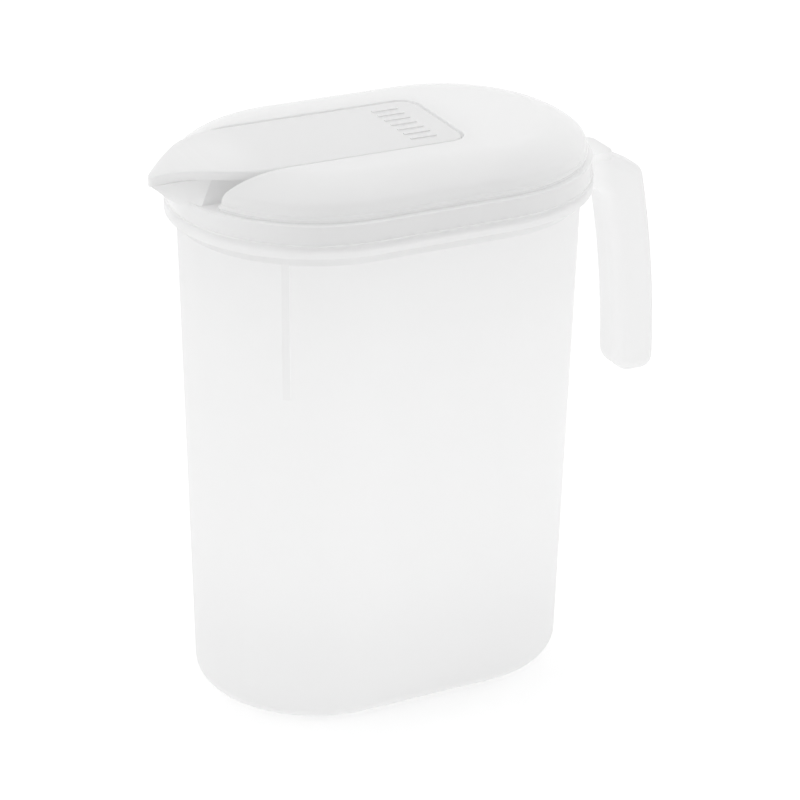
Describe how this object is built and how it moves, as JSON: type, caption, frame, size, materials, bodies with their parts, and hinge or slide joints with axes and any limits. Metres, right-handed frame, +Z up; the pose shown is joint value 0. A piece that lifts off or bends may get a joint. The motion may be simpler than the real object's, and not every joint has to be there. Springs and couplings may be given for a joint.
{
  "type": "plastic pitcher with lid",
  "caption": "Slim translucent fridge pitcher with a stepped collar, a hook handle and a domed white lid whose rocking flap covers a pointed pouring spout.",
  "frame": {"origin": "centre of the flat base, on the table", "axes": "+Z up, the spout points to -X and the handle to +X, +Y across the narrow side"},
  "size_m": [0.223, 0.1174, 0.232],
  "materials": {
    "translucent_plastic": "milky translucent moulded polypropylene, satin",
    "white_plastic": "opaque white moulded polypropylene, smooth"
  },
  "bodies": {
    "jug": {"pitcher": "translucent_plastic", "lid": "white_plastic"},
    "rocker": {"flap": "white_plastic"}
  },
  "joints": [
    {"name": "flap_pivot", "type": "hinge", "parent": "jug", "child": "rocker", "pos_m": [-0.02, 0, 0.2285], "axis": [0, 1, 0], "range_deg": [0, 12]}
  ]
}
